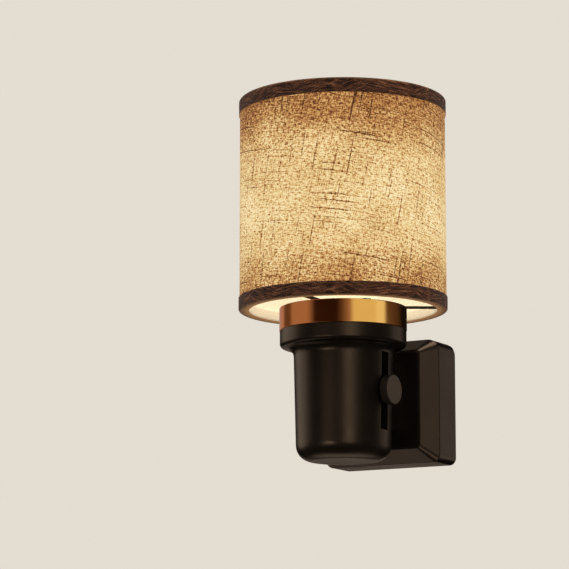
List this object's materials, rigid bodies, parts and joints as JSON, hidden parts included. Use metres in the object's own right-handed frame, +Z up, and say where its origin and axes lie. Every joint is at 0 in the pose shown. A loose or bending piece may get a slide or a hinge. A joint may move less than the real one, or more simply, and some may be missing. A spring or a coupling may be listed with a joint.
{
  "type": "plug in night light",
  "caption": "Plug-in night light: linen drum shade over a frosted LED cover, metal collar, round cup with a slide dimmer, and a bevelled two-blade plug housing.",
  "frame": {"origin": "on the plug housing's flat back face, midway between the two blades", "axes": "+Y along the blades into the wall, -Y towards the room, +Z up the shade's axis, +X to the right seen from the room"},
  "size_m": [0.0724, 0.0963, 0.1267],
  "materials": {
    "housing_plastic": "satin moulded",
    "cup_plastic": "satin moulded",
    "knob_plastic": "satin moulded",
    "plate_plastic": "moulded",
    "carriage_plastic": "moulded",
    "screw_steel": "zinc plated",
    "blade_metal": "nickel-washed",
    "board_laminate": "solder mask",
    "capacitor_sleeve": "shrink sleeve",
    "chip_resin": "moulded epoxy",
    "ferrite": "sintered",
    "resistor_coat": "lacquered",
    "red_insulation": "smooth",
    "black_insulation": "smooth",
    "case_steel": "folded sheet",
    "phenolic": "pressed laminate",
    "collar_metal": "polished copper tone",
    "led_board_white": "white mask",
    "led_phosphor": "silicone",
    "frosted_cover": "frosted",
    "spider_steel": "blackened",
    "hoop_white": "moulded",
    "liner_film": "calendered film",
    "linen": "slubbed plain weave",
    "trim_tape": "woven tape"
  },
  "bodies": {
    "lamp": {"rear_shell": "housing_plastic", "front_cover": "housing_plastic", "shell_screws": "screw_steel", "blade_left": "blade_metal", "blade_right": "blade_metal", "driver_board": "board_laminate", "filter_capacitor": "capacitor_sleeve", "bridge_rectifier": "chip_resin", "driver_chip": "chip_resin", "filter_inductor": "ferrite", "fuse_resistor": "resistor_coat", "dc_lead_red": "red_insulation", "dc_lead_black": "black_insulation", "lamp_cup": "cup_plastic", "neck_screws": "screw_steel", "dimmer_board": "board_laminate", "dimmer_transistor": "chip_resin", "dimmer_resistors": "chip_resin", "slider_case": "case_steel", "slider_track": "phenolic", "led_lead_red": "red_insulation", "led_lead_black": "black_insulation", "head_plate": "plate_plastic", "head_screws": "screw_steel", "brass_collar": "collar_metal", "led_board": "led_board_white", "led_chips": "led_phosphor", "diffuser": "frosted_cover", "shade_spider": "spider_steel", "shade_screws": "screw_steel", "bottom_hoop": "hoop_white", "top_hoop": "hoop_white", "shade_liner": "liner_film", "shade_linen": "linen", "bottom_trim": "trim_tape", "top_trim": "trim_tape"},
    "dimmer": {"slider_carriage": "carriage_plastic", "dimmer_knob": "knob_plastic"}
  },
  "joints": [
    {"name": "dimmer_slide", "type": "slide", "parent": "lamp", "child": "dimmer", "axis": [0, 0, 1], "range_m": [-0.0075, 0.0075]}
  ]
}
